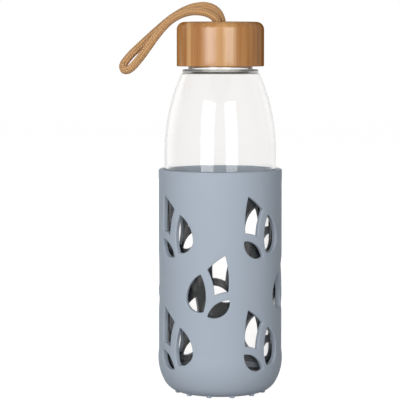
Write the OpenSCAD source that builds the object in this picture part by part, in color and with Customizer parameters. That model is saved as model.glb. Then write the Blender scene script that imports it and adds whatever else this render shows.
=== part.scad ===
// Glass water bottle in a silicone sleeve, with a bamboo screw cap and a braided carry cord.
// Millimetres. The origin is the centre of the base, on the surface that the sleeve's feet stand
// on. +Z is up, and the front of the bottle faces -Y.

/* [Glass bottle] */
// Outer diameter of the glass body
glass_d = 65.8; // [60:0.2:72]
// Thickness of the glass wall
glass_wall = 1.6; // [1.2:0.1:2.6]
// Thickness of the glass under the drink
glass_floor = 6; // [4:0.5:9]
// Height of the straight wall, from the glass's own base
straight_h = 140; // [120:1:160]
// Height of the shoulder, from the straight wall to the neck ring
shoulder_h = 45.2; // [38:0.1:55]
// Radius of the rounded lower edge of the glass
heel_r = 11.5; // [10:0.5:13]
// Rise of the hollow under the glass base
punt_h = 1.2; // [0.6:0.1:2.5]
// Diameter of the hollow under the glass base
punt_d = 38; // [30:1:40]

/* [Glass neck] */
// Outer diameter of the neck, at the root of the thread
neck_d = 38.2; // [34:0.2:42]
// Diameter of the mouth
mouth_d = 33.8; // [30:0.2:36]
// Height of the neck, from the underside of the neck ring to the lip
neck_h = 14.6; // [14:0.1:18]
// How far the neck ring stands out from the neck
ring_out = 3.4; // [2:0.1:4]
// Thickness of the neck ring
ring_t = 2.4; // [1.8:0.1:3]
// How far the top of the shoulder stands out past the neck ring
shoulder_step = 0.5; // [0.3:0.1:1.5]

/* [Screw thread] */
// Rise of the thread in one turn
thread_lead = 4; // [3:0.25:4.5]
// How far the glass thread stands out from the neck
thread_h = 1.2; // [0.8:0.1:1.6]
// Width of a thread ridge at its root
thread_w = 1.7; // [1.2:0.1:2]
// Clear space between the threads, radially
thread_gap = 0.4; // [0.3:0.05:0.6]
// Length of each thread, in turns
thread_turns = 1.25; // [1:0.05:1.4]
// Height of the lower end of the glass thread above the neck ring's underside
thread_start = 6.5; // [6:0.1:7.5]

/* [Bamboo cap] */
// Height of the cap
cap_h = 26; // [25:0.1:30]
// Thickness of the cap's side wall
cap_wall = 3.3; // [2.4:0.1:5]
// Thickness of the cap's top over the knot
cap_top_t = 5; // [3:0.5:8]
// Radius of the cap's top edge
cap_edge_r = 4.5; // [1:0.5:6]
// Diameter of the cord hole
hole_d = 11.4; // [11:0.1:14]
// Width of the bevel round the cord hole
hole_bevel = 0.8; // [0.4:0.1:1.5]
// Depth of the pocket for the knot
pocket_h = 7.6; // [7:0.1:10]
// Clear space round the knot in its pocket
pocket_gap = 0.8; // [0.5:0.1:2]

/* [Liner and seal] */
// Thickness of the liner's wall
liner_wall = 1.6; // [1.2:0.1:2.4]
// Thickness of the liner's top
liner_top_t = 1.4; // [1:0.1:2]
// How far the liner is set back from the cap's lower edge
liner_recess = 0.4; // [0.2:0.1:1]
// Thickness of the glue between the liner and the bamboo
glue_gap = 0.1; // [0.05:0.05:0.2]
// Thickness of the seal
seal_t = 1.6; // [1:0.1:2.5]
// How far the seal reaches inwards past the mouth
seal_inset = 1.4; // [0.8:0.1:3]

/* [Carry cord] */
// Diameter of the cord
cord_d = 4.9; // [4:0.1:5]
// Diameter of the knot
knot_d = 16.4; // [15.5:0.1:18]
// Radius of the knot's rounded edges
knot_edge_r = 1.8; // [1:0.1:1.8]

/* [Sleeve] */
// Height of the sleeve, feet included
sleeve_h = 132.6; // [124:0.1:142]
// Thickness of the sleeve's wall
sleeve_wall = 3.2; // [2.4:0.1:4]
// Thickness of the sleeve's floor
sleeve_floor = 3.2; // [2.4:0.1:4]
// Clear space between the sleeve and the glass
sleeve_gap = 0.3; // [0.2:0.05:0.5]
// Radius inside the sleeve's lower corner
inner_corner_r = 10.5; // [8:0.5:10.5]
// Radius where the underside turns up
base_corner_r = 12; // [10:0.5:13]
// How far the underside's flat stops short of the bulge
base_inset = 14.2; // [13.5:0.1:16]
// How far the low bulge stands out from the wall
bulge_out = 0.4; // [0.2:0.1:0.8]
// Height of the widest part of the bulge
bulge_z = 20.6; // [19:0.1:25]
// How far the feet lift the base
foot_h = 0.4; // [0.3:0.1:1.5]
// Diameter of a foot where it stands
foot_d = 2.8; // [1.8:0.1:3.6]
// Radius of the circle of feet
feet_ring_r = 25.9; // [22:0.1:27]
// Number of feet
foot_count = 12; // [6:1:18]

/* [Leaf windows] */
// Leaf clusters round the sleeve
cluster_count = 4; // [3:1:5]
// Height of the middle of the low row
low_row_z = 31.1; // [28:0.1:34]
// Height of the middle of the mid row
mid_row_z = 63.1; // [58:0.1:66]
// Height of the middle of the top row
top_row_z = 96.9; // [90:0.1:102]
// Turn of the low and top rows from the front
outer_rows_turn = 35.1; // [0:0.1:90]
// Turn of the mid row from the front
mid_row_turn = -4.9; // [-45:0.1:45]
// Width of the band between the stem leaf and the wide leaf
stem_band = 5.3; // [4:0.1:6.5]
// Width of the band between the stem leaf and the small leaf
low_band = 4.6; // [3.5:0.1:6]

/* [Hidden] */

$fn = 96;
cut = 1; // how far a cutting shape runs past what it cuts

// Heights, from the feet up
floor_z = foot_h + sleeve_floor;
straight_z = floor_z + straight_h;
ring_z = straight_z + shoulder_h;
lip_z = ring_z + neck_h;
liner_top_z = lip_z + seal_t + liner_top_t;
cap_top_z = liner_top_z + pocket_h + cap_top_t;
cap_z = cap_top_z - cap_h;
liner_z = cap_z + liner_recess;
thread_z = ring_z + thread_start;

// Radii, from the glass out
glass_r = glass_d / 2;
neck_r = neck_d / 2;
mouth_r = mouth_d / 2;
ring_r = neck_r + ring_out;
crest_r = neck_r + thread_h;
liner_bore_r = crest_r + thread_gap;
liner_r = liner_bore_r + liner_wall;
cap_bore_r = liner_r + glue_gap;
cap_r = cap_bore_r + cap_wall;
pocket_r = knot_d / 2 + pocket_gap;
sleeve_bore_r = glass_r + sleeve_gap;
sleeve_r = sleeve_bore_r + sleeve_wall;
bulge_r = sleeve_r + bulge_out;

// Glass shoulder: one arc that starts upright at the straight wall
shoulder_r = ring_r + shoulder_step;
shoulder_arc_r = (pow(glass_r - shoulder_r, 2) + pow(shoulder_h, 2)) / (2 * (glass_r - shoulder_r));
shoulder_edge_r = 0.6;
neck_floor_t = 2;
inner_shoulder_edge_r = 1;
ring_edge_r = ring_t * 0.45;
lip_edge_r = 0.9;

// Screw thread
thread_crest_w = thread_w * 0.55;
thread_sink = 0.5;
thread_fade = 30;
thread_step = 10;
thread_play = (thread_lead - 2 * thread_w) / 2;
liner_thread_lead_in = 90;

// Sleeve's lower corner: the arc of base_corner_r, then one that meets it and the bulge smoothly
base_flat_r = bulge_r - base_inset;
base_corner_z = foot_h + base_corner_r;
side_arc_r = (pow(base_inset, 2) + pow(bulge_z - base_corner_z, 2) - pow(base_corner_r, 2))
             / (2 * (base_inset - base_corner_r));
side_arc_x = bulge_r - side_arc_r;
joint_angle = atan2(bulge_z - base_corner_z, base_flat_r - side_arc_x);
joint_x = side_arc_x + side_arc_r * cos(joint_angle);
joint_z = bulge_z - side_arc_r * sin(joint_angle);
bulge_end_z = bulge_z + sqrt(pow(side_arc_r, 2) - pow(sleeve_r - side_arc_x, 2));
foot_sink = 1.6;
foot_flare = 0.25;

// Leaf cluster, seen from outside: corners of the three leaves, right and up from the cluster's
// middle, and the radii of the arcs between them
stem_leaf_top = [8.9, 10.6];
stem_leaf_low = [7.3, -11.3];
stem_leaf_bulge = [17.7, -5.5];
stem_leaf_back_r = 27.9;
stem_leaf_upper_r = 16.5;
stem_leaf_lower_r = 8.4;
small_leaf_left = [-8.2, -4.2];
small_leaf_right = [4.6, -13.9];
small_leaf_upper_r = 12.7;
small_leaf_lower_r = 9.1;
wide_leaf_top = [-5.7, 21.6];
wide_leaf_low = [-7.6, 1.3];
wide_leaf_right = [1.6, 16.3];
wide_leaf_back_r = 60.7;
wide_leaf_top_r = 49.6;
stem_leaf_middle = 8.7;
small_leaf_middle = -3.75;
wide_leaf_middle = -4.2;
leaf_reach = norm(wide_leaf_top) + cut; // past every leaf, from the cluster's middle
leaf_cut_in = 4; // how far a leaf's cutter starts inside the bore

// Route of the cord's middle: right, back and up from the middle of the cap's top
cord_sides = 12;
cord_points = [
    [1, 2.5, -7], [1, 2.5, -3], [0.7, 2.5, 0.8], [-1, 2.5, 5], [-4.4, 2.5, 8],
    [-8.8, 2.5, 9.3], [-13.2, 2.6, 9.1], [-17.6, 2.7, 8.1], [-22, 2.9, 6.2], [-26.2, 3.1, 3.8],
    [-30.2, 3.3, 1], [-34.1, 3.5, -2.2], [-37.9, 3.7, -5.5], [-41.7, 3.9, -8.9],
    [-45.5, 4.1, -12.4], [-49.1, 4.2, -15.7], [-52.6, 4.2, -19.1], [-55.4, 4.2, -22.4],
    [-57, 3.5, -24.7], [-57.3, 2, -26.6], [-56.7, 0, -28], [-55.2, -2.1, -28.3],
    [-53.3, -3.6, -27.6], [-51.2, -4.2, -25.9], [-47.8, -4.2, -22], [-44.7, -4.1, -17.9],
    [-41.7, -3.9, -13.7], [-38.7, -3.7, -9.5], [-35.4, -3.5, -5.3], [-31.6, -3.2, -1.1],
    [-27.2, -3, 2.3], [-22.1, -2.8, 4.8], [-16.5, -2.6, 6.1], [-11.2, -2.5, 5.9],
    [-6.6, -2.5, 4.6], [-3.2, -2.5, 2.2], [-1.7, -2.5, -0.8], [-1.4, -2.5, -3.8],
    [-1.4, -2.5, -7]
];

// ---- Helpers ----

// What a corner at (x, y) loses when it is rounded to radius r; up is 1 for a top corner and -1
// for a bottom one
module corner_waste(x, y, r, up) {
    translate([x - r, y - up * r])
        difference() {
            translate([0, up > 0 ? 0 : -r - cut]) square(r + cut);
            circle(r);
        }
}

// The same for a corner that faces the axis
module inner_corner_waste(x, y, r, up) {
    translate([x + r, y - up * r])
        difference() {
            translate([-r - cut, up > 0 ? 0 : -r - cut]) square(r + cut);
            circle(r);
        }
}

// Half section of a straight wall of radius r with the shoulder over it. The shoulder stays
// concentric with the outer one, and ends in an edge of radius edge_r at top_z.
module body_section(r, low_z, heel, top_z, edge_r) {
    arc_r = shoulder_arc_r - (glass_r - r);
    arc_x = glass_r - shoulder_arc_r;
    edge_z = top_z - edge_r;
    edge_x = arc_x + sqrt(pow(arc_r - edge_r, 2) - pow(edge_z - straight_z, 2));
    tangent_z = straight_z + (edge_z - straight_z) * arc_r / (arc_r - edge_r);
    difference() {
        translate([0, low_z]) square([r, straight_z - low_z]);
        corner_waste(r, low_z, heel, -1);
    }
    intersection() {
        translate([arc_x, straight_z]) circle(arc_r, $fn = 360);
        translate([0, straight_z]) square([r, tangent_z - straight_z]);
    }
    translate([edge_x, edge_z]) circle(edge_r);
    translate([0, straight_z]) square([edge_x, top_z - straight_z]);
}

// A helical ridge from root radius r0 to crest radius r1, sunk into its wall, with faded ends.
// It starts at the angle start and at height z.
module thread_ridge(r0, r1, start, z) {
    out = r1 > r0 ? 1 : -1;
    steps = round(thread_turns * 360 / thread_step);
    rings = [for (i = [0 : steps]) let (
            a = i * thread_turns * 360 / steps,
            ends = min(a, thread_turns * 360 - a),
            f = min(1, 0.15 + ends / thread_fade),
            h = z + thread_lead * a / 360,
            c = cos(start + a),
            s = sin(start + a),
            r_in = r0 - out * thread_sink,
            r_top = r0 + (r1 - r0) * f,
            w_in = thread_w / 2 * f,
            w_top = thread_crest_w / 2 * f
        ) [[r_in * c, r_in * s, h - w_in], [r_top * c, r_top * s, h - w_top],
           [r_top * c, r_top * s, h + w_top], [r_in * c, r_in * s, h + w_in]]];
    tube_between(out > 0 ? rings : [for (q = rings) [q[3], q[2], q[1], q[0]]]);
}

// Skins a list of rings of points as one closed solid
module tube_between(rings) {
    n = len(rings[0]);
    m = len(rings);
    points = [for (ring = rings) each ring];
    sides = [for (i = [0 : m - 2]) for (j = [0 : n - 1]) let (k = (j + 1) % n)
        each [[i * n + j, i * n + k, (i + 1) * n + k], [i * n + j, (i + 1) * n + k, (i + 1) * n + j]]];
    start_cap = [for (j = [1 : n - 2]) [0, j + 1, j]];
    last = (m - 1) * n;
    end_cap = [for (j = [1 : n - 2]) [last, last + j, last + j + 1]];
    polyhedron(points, concat(sides, start_cap, end_cap), convexity = 10);
}

// Centre of the circle of radius r through p and q, on the left of the way from p to q
function arc_centre(p, q, r) =
    let (d = q - p, l = norm(d))
    (p + q) / 2 + [-d[1], d[0]] / l * sqrt(r * r - l * l / 4);

// ---- Leaf windows ----

stem_leaf_centre = arc_centre(stem_leaf_top, stem_leaf_low, stem_leaf_back_r);
small_leaf_centre = arc_centre(small_leaf_right, small_leaf_left, small_leaf_upper_r);

module disc_at(centre, r) {
    translate(centre) circle(r, $fn = 180);
}

// The disc whose edge is the arc from p to q, with the leaf on its left
module leaf_side(p, q, r) {
    disc_at(arc_centre(p, q, r), r);
}

module stem_leaf() {
    intersection() {
        disc_at(stem_leaf_centre, stem_leaf_back_r);
        leaf_side(stem_leaf_bulge, stem_leaf_top, stem_leaf_upper_r);
        union() {
            leaf_side(stem_leaf_low, stem_leaf_bulge, stem_leaf_lower_r);
            translate([-leaf_reach, stem_leaf_bulge[1] + 2 * cut]) square(2 * leaf_reach);
        }
    }
}

module small_leaf() {
    intersection() {
        disc_at(small_leaf_centre, small_leaf_upper_r);
        leaf_side(small_leaf_left, small_leaf_right, small_leaf_lower_r);
    }
}

module wide_leaf() {
    difference() {
        intersection() {
            leaf_side(wide_leaf_top, wide_leaf_low, wide_leaf_back_r);
            leaf_side(wide_leaf_right, wide_leaf_top, wide_leaf_top_r);
            translate([-leaf_reach, -cut]) square([2 * leaf_reach, leaf_reach]);
        }
        disc_at(stem_leaf_centre, stem_leaf_back_r + stem_band);
        disc_at(small_leaf_centre, small_leaf_upper_r + low_band);
    }
}

// Cuts one leaf through the wall, square to the wall at the leaf's middle line
module leaf_cutter(z, turn, side, middle) {
    rotate([0, 0, turn + side * middle / sleeve_r * 180 / PI])
        translate([0, leaf_cut_in - sleeve_bore_r, z])
            rotate([90, 0, 0])
                linear_extrude(leaf_cut_in + sleeve_wall + cut)
                    mirror([side < 0 ? 1 : 0, 0])
                        translate([-middle, 0]) children();
}

// Three leaves of one cluster; side is 1 as drawn and -1 mirrored
module leaf_cluster(z, turn, side) {
    leaf_cutter(z, turn, side, stem_leaf_middle) stem_leaf();
    leaf_cutter(z, turn, side, small_leaf_middle) small_leaf();
    leaf_cutter(z, turn, side, wide_leaf_middle) wide_leaf();
}

module cluster_row(z, turn, side) {
    for (i = [0 : cluster_count - 1]) leaf_cluster(z, turn + i * 360 / cluster_count, side);
}

// ---- Pieces ----

module glass_bottle() {
    punt_r = (pow(punt_d / 2, 2) + pow(punt_h, 2)) / (2 * punt_h);
    color("azure", 0.4)
        union() {
            rotate_extrude()
                difference() {
                    union() {
                        body_section(glass_r, floor_z, heel_r, ring_z, shoulder_edge_r);
                        difference() {
                            translate([0, ring_z]) square([ring_r, ring_t]);
                            corner_waste(ring_r, ring_z, ring_edge_r, -1);
                            corner_waste(ring_r, ring_z + ring_t, ring_edge_r, 1);
                        }
                        difference() {
                            translate([0, ring_z]) square([neck_r, neck_h]);
                            corner_waste(neck_r, lip_z, lip_edge_r, 1);
                        }
                    }
                    body_section(glass_r - glass_wall, floor_z + glass_floor, heel_r - glass_wall,
                                 ring_z + ring_t - neck_floor_t, inner_shoulder_edge_r);
                    translate([0, ring_z - 2 * neck_floor_t])
                        square([mouth_r, neck_h + 2 * neck_floor_t + cut]);
                    intersection() {
                        translate([0, floor_z + punt_h - punt_r]) circle(punt_r, $fn = 360);
                        translate([0, floor_z - cut]) square([punt_d, punt_h + 2 * cut]);
                    }
                }
            thread_ridge(neck_r, crest_r, 0, thread_z);
        }
}

module silicone_sleeve() {
    color("slategray")
        difference() {
            union() {
                rotate_extrude()
                    difference() {
                        sleeve_outline();
                        difference() {
                            translate([0, floor_z]) square([sleeve_bore_r, sleeve_h]);
                            corner_waste(sleeve_bore_r, floor_z, inner_corner_r, -1);
                        }
                    }
                for (i = [0 : foot_count - 1])
                    rotate([0, 0, (i + 0.5) * 360 / foot_count])
                        translate([feet_ring_r, 0, 0])
                            cylinder(h = foot_h + foot_sink, r1 = foot_d / 2,
                                     r2 = foot_d / 2 + foot_flare, $fn = 32);
            }
            cluster_row(low_row_z, outer_rows_turn, 1);
            cluster_row(mid_row_z, mid_row_turn, -1);
            cluster_row(top_row_z, outer_rows_turn, 1);
        }
}

// Half section of the sleeve's outside: flat underside, two arcs up to the bulge, straight wall
module sleeve_outline() {
    translate([0, foot_h]) square([base_flat_r, joint_z - foot_h]);
    intersection() {
        translate([base_flat_r, base_corner_z]) circle(base_corner_r);
        translate([base_flat_r, foot_h]) square([base_corner_r, joint_z - foot_h]);
    }
    intersection() {
        translate([side_arc_x, bulge_z]) circle(side_arc_r, $fn = 180);
        translate([0, joint_z]) square([bulge_r + cut, bulge_end_z - joint_z]);
    }
    translate([0, bulge_end_z]) square([sleeve_r, sleeve_h - bulge_end_z]);
}

module bamboo_cap() {
    color("peru")
        rotate_extrude()
            difference() {
                translate([0, cap_z]) square([cap_r, cap_h]);
                corner_waste(cap_r, cap_top_z, cap_edge_r, 1);
                translate([0, cap_z - cut]) square([cap_bore_r, liner_top_z - cap_z + cut]);
                translate([0, liner_top_z - cut]) square([pocket_r, pocket_h + cut]);
                translate([0, liner_top_z]) square([hole_d / 2, cap_top_z - liner_top_z + cut]);
                polygon([[0, cap_top_z - hole_d / 2 - hole_bevel], [0, cap_top_z + cut],
                         [hole_d / 2 + hole_bevel + cut, cap_top_z + cut],
                         [hole_d / 2 + hole_bevel, cap_top_z]]);
            }
}

module cap_liner() {
    color("whitesmoke")
        union() {
            difference() {
                translate([0, 0, liner_z]) cylinder(h = liner_top_z - liner_z, r = liner_r);
                translate([0, 0, liner_z - cut])
                    cylinder(h = lip_z + seal_t - liner_z + cut, r = liner_bore_r);
            }
            thread_ridge(liner_bore_r, neck_r + thread_gap, liner_thread_lead_in,
                         thread_z + thread_lead * liner_thread_lead_in / 360
                         - thread_w - thread_play / 2);
        }
}

module cap_seal() {
    color("gainsboro")
        translate([0, 0, lip_z])
            difference() {
                cylinder(h = seal_t, r = crest_r);
                translate([0, 0, -cut]) cylinder(h = seal_t + 2 * cut, r = mouth_r - seal_inset);
            }
}

// Places the cord's ring at point i, square to the way to its neighbours
function cord_ring(i) =
    let (
        last = len(cord_points) - 1,
        t = cord_points[min(i + 1, last)] - cord_points[max(i - 1, 0)],
        u = cross(t, [0, 1, 0]) / norm(cross(t, [0, 1, 0])),
        v = cross(u, t) / norm(t)
    )
    [for (j = [0 : cord_sides - 1]) let (a = j * 360 / cord_sides)
        cord_points[i] + [0, 0, cap_top_z] + cord_d / 2 * (u * cos(a) + v * sin(a))];

module carry_cord() {
    color("burlywood") tube_between([for (i = [0 : len(cord_points) - 1]) cord_ring(i)]);
}

module cord_knot() {
    color("tan")
        rotate_extrude()
            difference() {
                translate([0, liner_top_z]) square([knot_d / 2, pocket_h]);
                corner_waste(knot_d / 2, liner_top_z, knot_edge_r, -1);
                corner_waste(knot_d / 2, liner_top_z + pocket_h, knot_edge_r, 1);
            }
}

glass_bottle();
silicone_sleeve();
bamboo_cap();
cap_liner();
cap_seal();
carry_cord();
cord_knot();
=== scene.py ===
"""Glass water bottle in a silicone sleeve, with a bamboo screw cap and a braided carry cord.

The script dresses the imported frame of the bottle. Its pieces are built in the frame's own metres.
Each operator, which the sidebar panel lists, builds a piece or a group of like pieces.
"""

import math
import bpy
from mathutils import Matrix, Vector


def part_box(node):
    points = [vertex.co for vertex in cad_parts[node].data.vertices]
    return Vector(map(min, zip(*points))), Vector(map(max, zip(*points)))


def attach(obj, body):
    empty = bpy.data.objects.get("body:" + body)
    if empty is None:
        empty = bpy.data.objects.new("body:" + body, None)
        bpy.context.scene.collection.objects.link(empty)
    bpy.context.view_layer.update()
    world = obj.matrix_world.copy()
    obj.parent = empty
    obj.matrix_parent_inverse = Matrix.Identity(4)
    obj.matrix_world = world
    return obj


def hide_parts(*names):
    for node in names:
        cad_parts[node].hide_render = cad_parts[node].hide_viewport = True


bl_info = {
    "name": "Sleeved Glass Bottle",
    "version": (1, 0, 0),
    "blender": (4, 5, 0),
    "location": "View3D > Sidebar > Bottle",
    "description": "Builds a glass bottle with a leaf-cut silicone sleeve, bamboo cap and cord",
    "category": "Object",
}

import bmesh
import bpy
from bpy.props import FloatProperty, FloatVectorProperty, IntProperty, PointerProperty
from mathutils import Vector
from mathutils.geometry import delaunay_2d_cdt

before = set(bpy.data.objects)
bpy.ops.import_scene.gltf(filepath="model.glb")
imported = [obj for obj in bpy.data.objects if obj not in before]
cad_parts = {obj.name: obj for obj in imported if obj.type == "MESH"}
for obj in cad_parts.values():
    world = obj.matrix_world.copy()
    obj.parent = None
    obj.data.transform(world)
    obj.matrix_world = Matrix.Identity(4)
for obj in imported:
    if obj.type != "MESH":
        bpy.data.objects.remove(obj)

MM = 0.001
STEPS = 192  # segments round every large turned piece
SHARP = math.radians(38)  # corners past this angle aren't smoothed

# the screw thread, the same on the glass and in the liner, in mm
THREAD_LEAD = 4
THREAD_TURNS = 1.25
THREAD_WIDTH = 1.7

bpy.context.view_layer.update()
glass_low, glass_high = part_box("glass_bottle")
sleeve_low, sleeve_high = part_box("silicone_sleeve")
cap_low, cap_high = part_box("bamboo_cap")
liner_low, liner_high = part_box("cap_liner")
seal_low, seal_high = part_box("cap_seal")
knot_low, knot_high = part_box("cord_knot")


# ---- Sizes and colours ----


def length(name, description, default):
    """A size in metres that the user can change."""
    return FloatProperty(name=name, description=description, default=default, unit="LENGTH")


def angle(name, description, degrees):
    """An angle that the user can change."""
    default = math.radians(degrees)
    return FloatProperty(name=name, description=description, default=default, subtype="ANGLE")


def number(name, description, default, least):
    """A count that the user can change."""
    return IntProperty(name=name, description=description, default=default, min=least)


def colour(name, description, default):
    """A base colour that the user can change."""
    return FloatVectorProperty(
        name=name, description=description, default=default, subtype="COLOR", size=4, min=0, max=1
    )


class BottleGlassSizes(bpy.types.PropertyGroup):
    """Sizes of the glass bottle"""

    base_z: length("Base height", "Height of the surface that the glass stands on", glass_low.z)
    lip_z: length("Lip height", "Height of the lip", glass_high.z)
    radius: length("Body radius", "Outer radius of the straight glass wall", 32.9 * MM)
    wall: length("Wall", "Thickness of the glass wall", 1.6 * MM)
    floor: length("Floor", "Thickness of the glass under the drink", 6 * MM)
    straight: length(
        "Straight wall", "Height of the straight wall over the glass's own base", 140 * MM
    )
    shoulder: length("Shoulder", "Height of the shoulder, up to the neck ring", 45.2 * MM)
    shoulder_radius: length(
        "Shoulder top radius", "Radius of the shoulder where it meets the neck ring", 23 * MM
    )
    neck_radius: length("Neck radius", "Radius of the neck at the root of the thread", 19.1 * MM)
    mouth_radius: length("Mouth radius", "Radius of the mouth", 16.9 * MM)
    ring_radius: length("Neck ring radius", "Outer radius of the ring under the thread", 22.5 * MM)
    ring_thickness: length(
        "Neck ring thickness", "Thickness of the ring under the thread", 2.4 * MM
    )
    thread_out: length("Thread height", "How far the thread stands out from the neck", 1.2 * MM)


class BottleSleeveSizes(bpy.types.PropertyGroup):
    """Sizes of the silicone sleeve"""

    rim_z: length("Rim height", "Height of the sleeve's rim", sleeve_high.z)
    floor_z: length("Floor height", "Height of the sleeve's floor", glass_low.z)
    bore: length("Bore radius", "Inner radius of the sleeve", 33.2 * MM)
    radius: length("Wall radius", "Outer radius of the straight wall", 36.4 * MM)
    bulge_radius: length("Bulge radius", "Outer radius at the low bulge", sleeve_high.x)
    edge: length("Edge rounding", "Radius of the rounded edges of the leaf windows", 0.5 * MM)
    tip: length("Tip rounding", "Radius of the tips of the leaf windows", 0.4 * MM)
    outer_rows_turn: angle(
        "Turn of the low and top rows",
        "Turn of the first cluster of the low and top rows from the front",
        35.1,
    )
    mid_row_turn: angle(
        "Turn of the middle row", "Turn of the first cluster of the middle row from the front", -4.9
    )
    foot_count: number("Feet", "Number of feet under the sleeve", 12, 3)


class BottleCapSizes(bpy.types.PropertyGroup):
    """Sizes of the cap, its liner and its seal"""

    radius: length("Cap radius", "Outer radius of the bamboo cap", cap_high.x)
    bore: length("Cap bore radius", "Radius of the bore that holds the liner", 22.4 * MM)
    edge: length("Top edge rounding", "Radius of the cap's top edge", 4.5 * MM)
    hole_radius: length(
        "Cord hole radius", "Radius of the hole that the cord comes out of", 5.7 * MM
    )
    pocket_radius: length("Pocket radius", "Radius of the pocket that holds the knot", 9 * MM)
    liner_radius: length("Liner radius", "Outer radius of the liner", 22.3 * MM)
    liner_bore: length(
        "Liner bore radius", "Inner radius of the liner at the root of its thread", 20.7 * MM
    )
    seal_bore: length("Seal bore radius", "Inner radius of the seal", 15.5 * MM)


class BottleCordSizes(bpy.types.PropertyGroup):
    """Sizes of the braided cord"""

    diameter: length("Cord diameter", "Outer diameter of the braid", 4.9 * MM)
    pitch: length("Braid pitch", "Length of cord in which a yarn goes round once", 10.4 * MM)
    yarns: number("Yarns each way", "Number of yarns that wind one way round the cord", 8, 4)


class BottleColours(bpy.types.PropertyGroup):
    """Base colours of the finishes"""

    silicone: colour("Silicone", "Colour of the sleeve", (0.385, 0.440, 0.510, 1))
    bamboo: colour("Pale bamboo", "Tone of the palest bamboo strips", (0.64, 0.355, 0.138, 1))
    dark_bamboo: colour("Dark bamboo", "Tone of the darkest bamboo strips", (0.39, 0.155, 0.034, 1))
    cord: colour("Cord", "Colour of the yarns", (0.62, 0.36, 0.165, 1))
    liner: colour("Liner", "Colour of the liner's plastic", (0.84, 0.84, 0.82, 1))
    neck_ring: colour("Neck ring", "Tint of the glass in the neck ring", (0.91, 0.94, 0.78, 1))
    # painted shade: the grey that the glass's outside is painted where it is seen edge on, in place
    # of the dark surroundings that it would refract
    glass_edge: colour(
        "Glass edge", "Colour that the glass takes where it is seen edge on", (0.62, 0.605, 0.59, 1)
    )


# ---- Mesh helpers ----


def new_object(name, vertices, faces):
    """Make a smooth-shaded mesh object at the origin, sharp only at its sharp corners."""
    mesh = bpy.data.meshes.new(name)
    mesh.from_pydata(vertices, [], faces)
    mesh.update()
    mesh.shade_smooth()
    mesh.set_sharp_from_angle(angle=SHARP)
    obj = bpy.data.objects.new(name, mesh)
    bpy.context.scene.collection.objects.link(obj)
    return obj


def arc(x, z, radius, start, end, count):
    """Points on an arc in a half section; the angles are in degrees from outwards towards up."""
    turns = [math.radians(start + (end - start) * i / count) for i in range(count + 1)]
    return [(x + radius * math.cos(a), z + radius * math.sin(a)) for a in turns]


def rows_between(radius, low, high, step):
    """Points up a straight wall, evenly spaced and without its two ends."""
    count = max(1, round(abs(high - low) / step))
    return [(radius, low + (high - low) * i / count) for i in range(1, count)]


def distinct(face):
    """A face's corners without the repeats that the axis makes of them."""
    return [v for i, v in enumerate(face) if v != face[i - 1]]


def lathe(section, displace=None, steps=STEPS):
    """Turn a half section (radius, height) about Z. It runs up the outside, and closes on itself
    or on the axis. displace(angle, radius, height) gives how far a point moves outwards."""
    vertices, faces, rings = [], [], []
    for r, z in section:
        if r < 1e-9:
            rings.append([len(vertices)] * steps)
            vertices.append((0, 0, z))
            continue
        rings.append(range(len(vertices), len(vertices) + steps))
        for k in range(steps):
            a = 2 * math.pi * k / steps
            out = r + (displace(a, r, z) if displace else 0)
            vertices.append((out * math.cos(a), out * math.sin(a), z))
    on_axis = section[0][0] < 1e-9
    for i in range(len(rings) - (1 if on_axis else 0)):
        low, high = rings[i], rings[(i + 1) % len(rings)]
        for k in range(steps):
            n = (k + 1) % steps
            face = distinct([low[k], low[n], high[n], high[k]])
            if len(face) > 2:
                faces.append(face)
    return vertices, faces


def turned_object(name, section, displace=None, steps=STEPS):
    """Turn a half section given in mm into a mesh object."""
    return new_object(name, *lathe([(r * MM, z * MM) for r, z in section], displace, steps))


def thread_ridge(wall_r, start_angle, start_z, height):
    """The thread's ridge, as a displacement of the wall of that radius in a lathe. The ridge fades
    over 30 degrees at its ends and has sloped flanks. Sizes are in mm; less than 0 is inwards."""

    def displace(a, radius, z):
        if abs(radius - wall_r * MM) > 1e-7:
            return 0
        best = 0.0
        turn = math.degrees(a - start_angle) % 360
        while turn <= THREAD_TURNS * 360:
            fade = min(1, 0.15 + min(turn, THREAD_TURNS * 360 - turn) / 30)
            off = abs(z / MM - start_z - THREAD_LEAD * turn / 360)
            half = THREAD_WIDTH / 2 * fade
            slope = (half - off) / (half * 0.45)
            best = max(best, abs(height) * fade * min(1, max(0, slope)))
            turn += 360
        return math.copysign(MM, height) * best

    return displace


# ---- Node helpers ----


class Field:
    """An output of a node. Arithmetic with numbers and other fields adds math nodes."""

    def __init__(self, node, output=0):
        self.node = node
        self.output = output

    def calc(self, operation, *others):
        """Add a math node that takes this field first."""
        return calc(self.node.id_data, operation, self, *others)

    def times_plus(self, factor, more):
        """This field times a factor, and more added."""
        return self.calc("MULTIPLY_ADD", factor, more)

    def __add__(self, other):
        return self.calc("ADD", other)

    def __sub__(self, other):
        return self.calc("SUBTRACT", other)

    def __mul__(self, other):
        return self.calc("MULTIPLY", other)

    def __truediv__(self, other):
        return self.calc("DIVIDE", other)

    def __gt__(self, other):
        return self.calc("GREATER_THAN", other)

    def __lt__(self, other):
        return self.calc("LESS_THAN", other)


def feed(node, entry, value):
    """Give an input a plain value, or join it to a field."""
    if isinstance(value, Field):
        node.id_data.links.new(value.node.outputs[value.output], node.inputs[entry])
    else:
        node.inputs[entry].default_value = value


def add(tree, kind, entries=None, **settings):
    """Add a node, with its settings and with what its inputs take, by their names or numbers."""
    node = tree.nodes.new(kind)
    for name, value in settings.items():
        setattr(node, name, value)
    for entry, value in (entries or {}).items():
        feed(node, entry, value)
    return node


def calc(tree, operation, *operands):
    """Add a math node; each operand is a number or a field."""
    return Field(add(tree, "ShaderNodeMath", dict(enumerate(operands)), operation=operation))


def vector_calc(tree, operation, *operands):
    """Add a vector math node; each operand is a field, and what scales one may be a number."""
    entries = (0, "Scale" if operation == "SCALE" else 1)
    given = dict(zip(entries, operands))
    node = add(tree, "ShaderNodeVectorMath", given, operation=operation)
    return Field(node, "Value" if operation == "LENGTH" else 0)


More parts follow.
